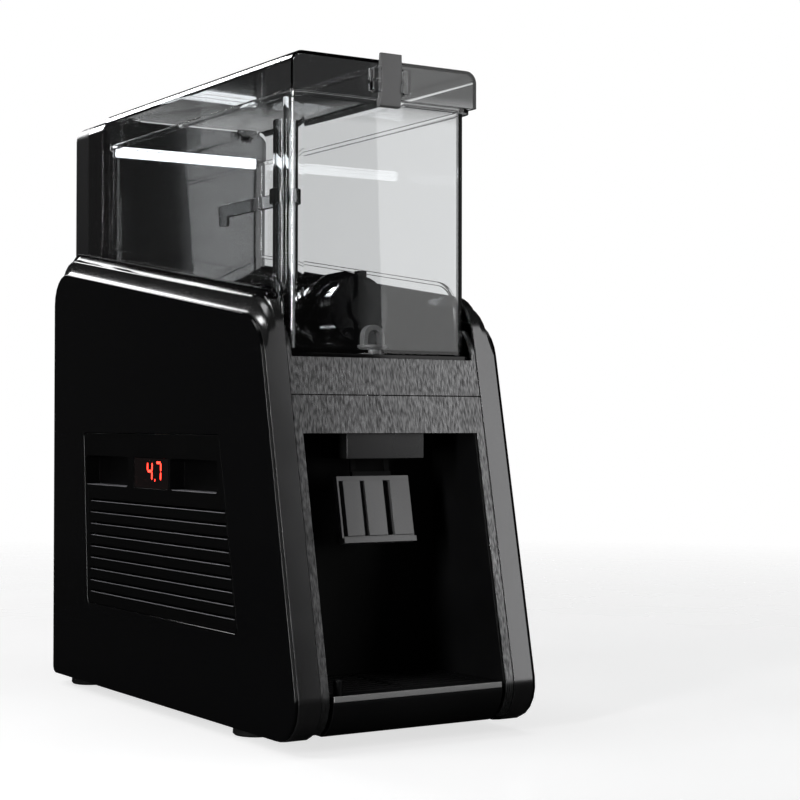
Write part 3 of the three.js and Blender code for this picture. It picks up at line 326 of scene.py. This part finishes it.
def prism(bm, points, place, depth):
    """A flat figure of (u, v) points in mm, set by place(u, v) and thickened by the depth vector."""
    base = [bm.verts.new(place(u, v)) for u, v in points]
    raised = [bm.verts.new(place(u, v) + depth) for u, v in points]
    bm.faces.new(base)
    bm.faces.new(list(reversed(raised)))
    for i in range(len(points)):
        k = (i + 1) % len(points)
        bm.faces.new((base[i], base[k], raised[k], raised[i]))


def bar(u0, v0, u1, v1, width):
    """A straight stroke between two points, as a closed figure."""
    along = Vector((u1 - u0, v1 - v0)).normalized() * width / 2
    across = Vector((-along.y, along.x))
    first, last = Vector((u0, v0)), Vector((u1, v1))
    return [tuple(first + across), tuple(first - across), tuple(last - across), tuple(last + across)]


STROKE_RUN_ON = 1.04             # each stroke of an arc runs a little past the next one's start


def arc_strokes(radius, start, end, width, steps=20, grow=0.0):
    """Short strokes along an arc in degrees; grow opens it into a spiral."""
    strokes = []
    for i in range(steps):
        shares = [(i + k) / steps for k in (0, STROKE_RUN_ON)]
        angles = [math.radians(start + (end - start) * share) for share in shares]
        radii = [radius + grow * share for share in shares]
        ends = [(r * math.cos(a), r * math.sin(a)) for r, a in zip(radii, angles)]
        strokes.append(bar(*ends[0], *ends[1], width))
    return strokes


# ---------------------------------------------------------------- pieces taken from the CAD nodes

# For each node that gets a finer piece: the rounding of its edges in mm, and its steps.
ROUNDED = {
    "side_panel_left": (1.2, 3), "side_panel_right": (1.2, 3),
    "vent_insert": (0.55, 2), "display_lens": (0.3, 2),
    "fascia_frame": (0.35, 2), "fascia_upper": (0.35, 2), "alcove_liner": (0.5, 2),
    "spout_block": (0.5, 2), "tap_tube": (0.3, 2), "tap_piston": (0.5, 2), "dispense_lever": (0.45, 2),
    "drip_tray": (0.6, 2), "drip_grille": (0.35, 2), "level_float": (0.4, 2),
    "bowl_cradle": (0.6, 2), "bowl": (0.5, 3), "lid": (0.5, 3), "drum_seal": (0.5, 2),
    "standpipe": (0.5, 2), "arm_clip": (0.35, 2), "level_arm": (0.7, 2),
    "column_front": (0.5, 2), "light_lens": (0.3, 2), "latch_block": (0.5, 2), "latch_tab": (0.5, 2),
    "upper_back_cover": (0.6, 2), "lower_back_panel": (0.35, 2),
    "main_switch_body": (0.3, 2), "mixer_switch_body": (0.3, 2), "cooling_switch_body": (0.3, 2),
    "main_rocker": (0.4, 2), "mixer_rocker": (0.4, 2), "cooling_rocker": (0.4, 2),
    "freezing_drum": (0.6, 2), "auger": (0.5, 2),
    "foot_front_left": (0.5, 2), "foot_front_right": (0.5, 2),
    "foot_rear_left": (0.5, 2), "foot_rear_right": (0.5, 2),
    "side_shell_left": (0.5, 2), "side_shell_right": (0.5, 2),
}
BACK_FACE = cad_high.y
SCREW_STAND = 0.4 * MM
MADE_OF = {
    "column_front": COLUMN_GLOSS, "upper_back_cover": BACK_PAINT, "lower_back_panel": BACK_PAINT,
    "spout_block": SPOUT_GREY, "level_arm": CLEAR_TINTED, "arm_clip": CLEAR_BRIGHT,
    "standpipe": CLEAR_BRIGHT, "latch_block": CLEAR_BRIGHT,
}
CREASE_RISE = 12.3               # the crease along the crown stands this far over the panels' top edge
LIP_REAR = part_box("drip_grille")[0].y + 2.6 * MM
PLATE_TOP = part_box("dispense_lever")[0].z + 56 * MM


def sunk_back(point):
    """The covers' rear faces stand a little in from the screw heads."""
    if point.y > BACK_FACE - 0.1 * MM:
        point.y = BACK_FACE - SCREW_STAND


def on_ridge(point):
    """Above the crease of a side shell's crown, which runs in line with the panel's sloping top edge."""
    return point.z > (TOP_Z + CREASE_RISE) * MM + TOP_SLOPE * (point.y - TOP_Y * MM)


SHAPED = {"upper_back_cover": sunk_back, "lower_back_panel": sunk_back}
SHELL_PARTS = [
    ("_skin", None, "satin_grey", lambda p: not on_ridge(p)),
    ("_ridge", None, "gloss_black", on_ridge),
]
# For each node that becomes two pieces: suffix, material, slot and the test of a face's middle.
SPLIT = {
    "side_shell_left": SHELL_PARTS,
    "side_shell_right": SHELL_PARTS,
    "drip_grille": [("_skin", None, "matte_black", lambda p: p.y > LIP_REAR),
                    ("_lip", LIP_GREY, "mid_grey", lambda p: p.y <= LIP_REAR)],
    # the lever's neck above the plate is painted black as shade, where it stands in the dark gap under the
    # spout block
    "dispense_lever": [("_plate", None, "mid_grey", lambda p: p.z <= PLATE_TOP),
                       ("_neck_painted_shade", None, "matte_black", lambda p: p.z > PLATE_TOP)],
}


def refine_nodes():
    for node, (radius, segments) in ROUNDED.items():
        if node in SPLIT:
            for suffix, material, slot, keep in SPLIT[node]:
                refined(node, radius, segments, material, keep, suffix, slot)
        else:
            refined(node, radius, segments, MADE_OF.get(node), shape=SHAPED.get(node))


def colour_plain_nodes():
    for name, node in NODES.items():
        if name not in ROUNDED:
            node.data.materials.clear()
            node.data.materials.append(FINISHES[SLOT_OF[name]])


# ---------------------------------------------------------------- display, louvres, screws and marks

SEGMENTS = {"4": "fgbc", "7": "abc", "dot": "p"}
STROKE_HALF = 1.1
STROKE_GAP = 0.35
SLANT = 0.04


def segment_lines(width, height):
    """Each segment of a figure by its letter, as (u0, v0, u1, v1); p is the point."""
    half = height / 2
    return {
        "a": (0, height, width, height), "b": (width, height, width, half), "c": (width, half, width, 0),
        "d": (0, 0, width, 0), "e": (0, half, 0, 0), "f": (0, height, 0, half),
        "g": (0, half, width, half), "p": (-0.9, 0, 0.9, 0),
    }


def segment_outline(u0, v0, u1, v1):
    """A pointed stroke, short of its two ends by the gap."""
    run = Vector((u1 - u0, v1 - v0))
    run.normalize()
    side = Vector((-run.y, run.x)) * STROKE_HALF
    tip = run * STROKE_HALF
    a = Vector((u0, v0)) + run * STROKE_GAP
    b = Vector((u1, v1)) - run * STROKE_GAP
    return [a, a + tip + side, b - tip + side, b, b - tip - side, a + tip - side]


def make_display_digits():
    lens_low, lens_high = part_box("display_lens")
    lens_left, digit_low = -lens_high.y / MM, lens_low.z / MM + 7.5
    width, height = 9.6, 15.8
    figures = [(28.1, width, height, "4"), (44.1, 0, 0, "dot"), (46.3, width, height, "7")]
    bm = bmesh.new()
    for inset, figure_width, figure_height, character in figures:
        lines = segment_lines(figure_width, figure_height)
        for letter in SEGMENTS[character]:
            outline = [(lens_left + inset + p.x + SLANT * p.y, digit_low + p.y)
                       for p in segment_outline(*lines[letter])]
            prism(bm, outline, lambda u, v: Vector((lens_low.x - 0.02 * MM, -u * MM, v * MM)),
                  Vector((-0.1 * MM, 0, 0)))
    finish_piece("display_digits", bm, "housing", "glow", DIGIT_RED)


VENT_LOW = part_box("vent_insert")[0] / MM
VENT_BACK = VENT_LOW.x + 4       # the rear of the insert's plate
LOUVRE_COUNT = 9
SLOT_RISE = 10.6                 # the lowest slot's edge over the insert's
SLOT_START = 92                  # from the leaning front plane back to the slots
SLOT_REAR = 154
# the height of the strips painted as highlights in the pockets and along the slots
PAINTED_STRIP_HEIGHT = 0.4


def vent_slots():
    """The lower edge of each louvre slot, and where the slot starts behind the leaning front."""
    for i in range(LOUVRE_COUNT):
        z = VENT_LOW.z + SLOT_RISE + LOUVRE_PITCH * i
        yield z, FRONT_FOOT_Y + FRONT_SLOPE * z + SLOT_START


def make_vent_vanes():
    """Sloped vanes behind the slots of the vent insert."""
    bm = bmesh.new()
    for z, front in vent_slots():
        section = [(VENT_BACK + 0.3, z - 1.2), (VENT_BACK + 1.1, z - 1.8),
                   (VENT_BACK + 7.5, z + 4.8), (VENT_BACK + 6.7, z + 5.4)]
        prism(bm, section, lambda u, v: Vector((u, front, v)) * MM, Vector((0, SLOT_REAR - front, 0)) * MM)
    finish_piece("vent_vanes", bm, "housing", "matte_dark")


def add_strip(bm, y0, y1, z0, z1, x, depth):
    """A thin level strip along Y, which reaches outwards from x by depth."""
    prism(bm, [(y0, z0), (y1, z0), (y1, z1), (y0, z1)], lambda u, v: Vector((x, u, v)) * MM,
          Vector((-depth, 0, 0)) * MM)


# Where each finger pocket's floor is flat, along Y.
POCKET_FLOORS = {"front": (-113.2, -22.4), "rear": (68.6, 165.2)}


def make_pocket_painted_highlights():
    """Pale strips painted on the floors of the two finger pockets as a highlight, where the light would
    catch them.
    """
    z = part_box("display_lens")[0].z / MM - 0.25
    for name, (y0, y1) in POCKET_FLOORS.items():
        bm = bmesh.new()
        add_strip(bm, y0, y1, z, z + PAINTED_STRIP_HEIGHT, VENT_LOW.x + 13.5, 13)
        finish_piece(f"pocket_{name}_painted_highlight", bm, "housing", "satin_grey", PAINTED_HIGHLIGHT_GREY)


def make_vent_slot_painted_highlights():
    """A pale strip painted on the lower edge of each slot as a highlight, where the light would catch it.
    """
    bm = bmesh.new()
    for z, front in vent_slots():
        add_strip(bm, front + 1, SLOT_REAR - 0.5, z + 0.02, z + PAINTED_STRIP_HEIGHT, VENT_LOW.x + 1.5, 1.3)
    finish_piece("vent_slot_painted_highlights", bm, "housing", "satin_grey", PAINTED_HIGHLIGHT_GREY)


REAR_LOUVRE_COUNT = 18
REAR_LOUVRE_LOW = 48


def make_rear_vanes():
    """Sloped vanes behind the slots of the lower back panel."""
    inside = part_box("lower_back_panel")[0].y / MM
    half_length = 68
    bm = bmesh.new()
    for i in range(REAR_LOUVRE_COUNT):
        z = REAR_LOUVRE_LOW + LOUVRE_PITCH * i
        section = [(inside - 0.6, z - 0.4), (inside - 1.4, z - 1.0),
                   (inside - 6.8, z + 5.6), (inside - 6.0, z + 6.2)]
        prism(bm, section, lambda u, v: Vector((-half_length, u, v)) * MM,
              Vector((2 * half_length, 0, 0)) * MM)
    finish_piece("rear_vanes", bm, "housing", "matte_dark")


def screw_places():
    """The (x, z) of each screw, from the bottom up: two rows a cover, inset from its edges."""
    low, high = (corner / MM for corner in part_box("lower_back_panel"))
    rows = [(low.z + 9, low.x + 8, high.x - 8), (high.z - 9, low.x + 8, high.x - 8)]
    low, high = (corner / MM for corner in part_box("upper_back_cover"))
    rows += [(low.z + 12, low.x + 9, high.x - 9), (high.z - 16, low.x + 12, high.x - 12)]
    return [(x, z) for z, *pair in rows for x in pair]


SCREW_PROFILE = [(3.6, 0.5), (3.6, 0.25), (3.2, 0.05), (1.4, 0)]   # radius, depth behind the back face
SCREW_PIT = 0.8
SCREW_SIDES = 28


def make_back_screw(number, x, z):
    """A shallow domed head with a pit in its middle."""
    bm = bmesh.new()
    turns = [t * math.tau / SCREW_SIDES for t in range(SCREW_SIDES)]
    rows = [[bm.verts.new(((x + radius * math.cos(turn)) * MM, BACK_FACE - depth * MM,
                           (z + radius * math.sin(turn)) * MM)) for turn in turns]
            for radius, depth in SCREW_PROFILE]
    pit = bm.verts.new((x * MM, BACK_FACE - SCREW_PIT * MM, z * MM))
    for t in range(SCREW_SIDES):
        u = (t + 1) % SCREW_SIDES
        for near, far in zip(rows, rows[1:]):
            bm.faces.new((near[t], near[u], far[u], far[t]))
        bm.faces.new((rows[-1][t], rows[-1][u], pit))
    bm.faces.new(list(reversed(rows[0])))
    finish_piece(f"back_screw_{number}", bm, "housing", "matte_black", SCREW_BLACK)


def make_back_screws():
    for number, (x, z) in enumerate(screw_places(), start=1):
        make_back_screw(number, x, z)


SWITCHES = ("main", "mixer", "cooling")


def switch_symbol(switch):
    """The printed mark under a switch: power, a swirl for stirring, or a snowflake."""
    if switch == "main":
        return arc_strokes(3.0, 125, 415, 0.8) + [bar(0, 0.6, 0, 4.0, 0.8)]
    if switch == "mixer":
        return arc_strokes(0.6, 0, 620, 0.7, 34, 3.0)
    arms = [Vector((3.6 * math.cos(math.radians(turn)), 3.6 * math.sin(math.radians(turn))))
            for turn in (90, 30, 150)]
    return [bar(*arm, *-arm, 0.7) for arm in arms]


def make_switch_marks():
    switch_low, switch_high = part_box("main_switch_body")
    recess_floor = switch_high.y - 2 * MM
    mark_z = switch_low.z - 11 * MM
    bm = bmesh.new()
    for switch in SWITCHES:
        x = HINGE_AT[f"{switch}_rocker_hinge"].x
        for stroke in switch_symbol(switch):
            prism(bm, stroke, lambda u, v: Vector((x + u * MM, recess_floor - 0.02 * MM, mark_z + v * MM)),
                  Vector((0, 0.12 * MM, 0)))
    finish_piece("switch_marks", bm, "housing", "light_grey", PRINT_WHITE)


ROCKER_REACH = 12.9              # from the pivot to the crest of each half
ROCKER_TILT = math.radians(-7.7)     # half of the swing between its two positions
VALLEY_REACH = 5                 # from the pivot to where the two faces meet
CREST_ANGLE = math.radians(57)
LEGEND_PLACE = 0.62              # the legend's share of the way from the valley to the crest


def make_rocker_legend(switch):
    """A ring on the rocker's upper face and a line on its lower one."""
    pivot = HINGE_AT[f"{switch}_rocker_hinge"] / MM
    valley = Vector((math.cos(ROCKER_TILT), math.sin(ROCKER_TILT))) * VALLEY_REACH
    bm = bmesh.new()
    for side in (1, -1):
        angle = side * CREST_ANGLE + ROCKER_TILT
        crest = Vector((math.cos(angle), math.sin(angle))) * ROCKER_REACH
        along = (crest - valley).normalized()
        out = Vector((along.y, -along.x)) * side
        middle = valley + (crest - valley) * LEGEND_PLACE

        def on_face(u, v):
            point = middle + along * v * side + out * 0.01
            return Vector((pivot.x + u, pivot.y + point.x, pivot.z + point.y)) * MM

        strokes = arc_strokes(1.5, 0, 360, 0.6, 16) if side > 0 else [bar(0, -1.6, 0, 1.6, 0.7)]
        for stroke in strokes:
            prism(bm, stroke, on_face, Vector((0, *out)) * 0.1 * MM)
    finish_piece(f"{switch}_rocker_legend", bm, f"{switch}_rocker", "light_grey", PRINT_WHITE)


# ---------------------------------------------------------------- floor, light and camera

AZIMUTH = math.radians(32.48)    # of the view, from +Y towards +X
FLOOR_RADIUS = 6
FLOOR_FADE = (0.7, 2.4)          # from the middle, where the floor starts and ends its fading
FLOOR_GLOW = 0.7                 # keeps the floor pale to the camera
GLOW_THROUGH_CLEAR = 0.4         # the share of that glow which shows through clear plastic


def seen_floor(nodes, links, path):
    """The pale floor itself, glowing only where it is seen straight or through clear plastic."""
    shader = nodes.new("ShaderNodeBsdfPrincipled")
    speckle = noise(nodes, links, 180, detail=3)
    links.new(blend_colours(nodes, links, speckle, (0.52, 0.52, 0.525), (0.55, 0.55, 0.555)),
              shader.inputs["Base Color"])
    links.new(spread(nodes, links, noise(nodes, links, 5), 0.24, 0.32), shader.inputs["Roughness"])
    shader.inputs["Specular IOR Level"].default_value = 0.35
    shader.inputs["Emission Color"].default_value = (1, 1, 1, 1)
    share = arithmetic(nodes, links, "MULTIPLY_ADD", path.outputs["Is Transmission Ray"],
                       GLOW_THROUGH_CLEAR, path.outputs["Is Camera Ray"])
    links.new(arithmetic(nodes, links, "MULTIPLY", share, FLOOR_GLOW), shader.inputs["Emission Strength"])
    return shader.outputs["BSDF"]


def make_floor():
    """A round floor, dark in the object's reflections, which fades into the white background."""
    bm = bmesh.new()
    bmesh.ops.create_circle(bm, cap_ends=True, segments=96, radius=FLOOR_RADIUS)
    mesh = bpy.data.meshes.new("floor")
    bm.to_mesh(mesh)
    bm.free()
    floor = bpy.data.objects.new("floor", mesh)
    floor.location = (0, 0, -0.05 * MM)
    bpy.context.scene.collection.objects.link(floor)
    material, nodes, links = tree_of("pale_floor")
    path = nodes.new("ShaderNodeLightPath")
    mirrored = nodes.new("ShaderNodeBsdfDiffuse")
    mirrored.inputs["Color"].default_value = (0.03, 0.03, 0.03, 1)
    surface = mix_shaders(nodes, links, path.outputs["Is Glossy Ray"], seen_floor(nodes, links, path),
                          mirrored.outputs["BSDF"])
    coordinates = nodes.new("ShaderNodeTexCoord")
    distance = nodes.new("ShaderNodeVectorMath")
    distance.operation = "LENGTH"
    links.new(coordinates.outputs["Object"], distance.inputs[0])
    fade = spread(nodes, links, distance.outputs["Value"], 0, 1, *FLOOR_FADE)
    clear = nodes.new("ShaderNodeBsdfTransparent")
    output = nodes.new("ShaderNodeOutputMaterial")
    links.new(mix_shaders(nodes, links, fade, surface, clear.outputs["BSDF"]), output.inputs["Surface"])
    mesh.materials.append(material)


WORLD_LIGHT = 0.025              # what the background gives where it only lights
BACKDROP_WHITE = 0.78            # the backdrop seen through clear plastic, and the dark over it
BACKDROP_DARK = 0.03
BACKDROP_TOP = (0.163, 0.177)    # where the one turns into the other, as the sine of the elevation
BACKDROP_EDGE = (0.962, 0.98)    # where its sides end, as the cosine of the angle from the view
BACKDROP_SIDES = 0.3             # the share of it that shows beyond them


def make_world():
    """White where it is seen straight, graded through the clear plastic, dim where it only lights."""
    world = bpy.data.worlds.new("studio")
    world.use_nodes = True
    nodes, links = world.node_tree.nodes, world.node_tree.links
    nodes.clear()
    path = nodes.new("ShaderNodeLightPath")
    coordinates = nodes.new("ShaderNodeTexCoord")
    parts = nodes.new("ShaderNodeSeparateXYZ")
    links.new(coordinates.outputs["Generated"], parts.inputs["Vector"])
    along_view = nodes.new("ShaderNodeVectorMath")
    along_view.operation = "DOT_PRODUCT"
    along_view.inputs[1].default_value = (math.sin(AZIMUTH), math.cos(AZIMUTH), 0)
    links.new(coordinates.outputs["Generated"], along_view.inputs[0])
    low_down = spread(nodes, links, parts.outputs["Z"], BACKDROP_WHITE, BACKDROP_DARK, *BACKDROP_TOP)
    behind = spread(nodes, links, along_view.outputs["Value"], BACKDROP_SIDES, 1, *BACKDROP_EDGE)
    unmirrored = spread(nodes, links, path.outputs["Glossy Depth"], 1, 0.05, 0.4, 0.6)
    backdrop = arithmetic(nodes, links, "MULTIPLY", behind,
                          arithmetic(nodes, links, "MULTIPLY", low_down, unmirrored))
    indirect = mix_values(nodes, links, path.outputs["Is Transmission Ray"], WORLD_LIGHT, backdrop)
    strength = mix_values(nodes, links, path.outputs["Is Camera Ray"], indirect, 1.0)
    background = nodes.new("ShaderNodeBackground")
    background.inputs["Color"].default_value = (1, 1, 1, 1)
    links.new(strength, background.inputs["Strength"])
    output = nodes.new("ShaderNodeOutputWorld")
    links.new(background.outputs["Background"], output.inputs["Surface"])
    bpy.context.scene.world = world


def softbox(name, place, aim, width, height, power):
    """A rectangular lamp that the camera doesn't see, in metres and watts."""
    light = bpy.data.lights.new(name, "AREA")
    light.shape = "RECTANGLE"
    light.size = width
    light.size_y = height
    light.energy = power
    lamp = bpy.data.objects.new(name, light)
    lamp.location = place
    lamp.rotation_mode = "QUATERNION"
    lamp.rotation_quaternion = (Vector(aim) - Vector(place)).to_track_quat("-Z", "Y")
    lamp.visible_camera = False
    bpy.context.scene.collection.objects.link(lamp)


def make_lights():
    middle = Vector((0, 0, (cad_low.z + cad_high.z) / 2))
    softbox("front_right", (1.16, -1.23, 0.68), (0, 0, 0.4), 0.9, 1.05, 4.2)
    softbox("left_strip", (-0.95, -0.62, 0.37), (0, 0, 0.37), 0.1, 0.72, 8)
    softbox("back_high", (-0.28, 2.3, 1.62), middle, 0.8, 0.75, 16)
    softbox("left_high", (-1.3, 0.3, 1.6), middle, 0.6, 0.6, 10)
    softbox("overhead", (0.2, -0.2, 2.1), middle, 1.0, 1.0, 8)


CAMERA_PLACE = (-0.792, -1.4607, 0.259)
CAMERA_PITCH = math.radians(0.74)
CAMERA_ROLL = math.radians(0.11)
CAMERA_LENS = 81.1               # mm, on a sensor 36 mm wide


def make_camera():
    """The photograph's view, from the front left at the height of the tap."""
    data = bpy.data.cameras.new("camera")
    data.lens = CAMERA_LENS
    data.sensor_width = 36
    camera = bpy.data.objects.new("camera", data)
    level = Vector((math.sin(AZIMUTH), math.cos(AZIMUTH), 0))
    forward = level * math.cos(CAMERA_PITCH) + Vector((0, 0, math.sin(CAMERA_PITCH)))
    camera.location = CAMERA_PLACE
    camera.rotation_mode = "QUATERNION"
    camera.rotation_quaternion = forward.to_track_quat("-Z", "Y") @ Quaternion((0, 0, 1), CAMERA_ROLL)
    bpy.context.scene.collection.objects.link(camera)
    bpy.context.scene.camera = camera


refine_nodes()
colour_plain_nodes()
make_display_digits()
make_vent_vanes()
make_pocket_painted_highlights()
make_vent_slot_painted_highlights()
make_rear_vanes()
make_back_screws()
make_switch_marks()
for switch in SWITCHES:
    make_rocker_legend(switch)
make_floor()
make_world()
make_lights()
make_camera()
bpy.context.scene.view_settings.view_transform = "Standard"
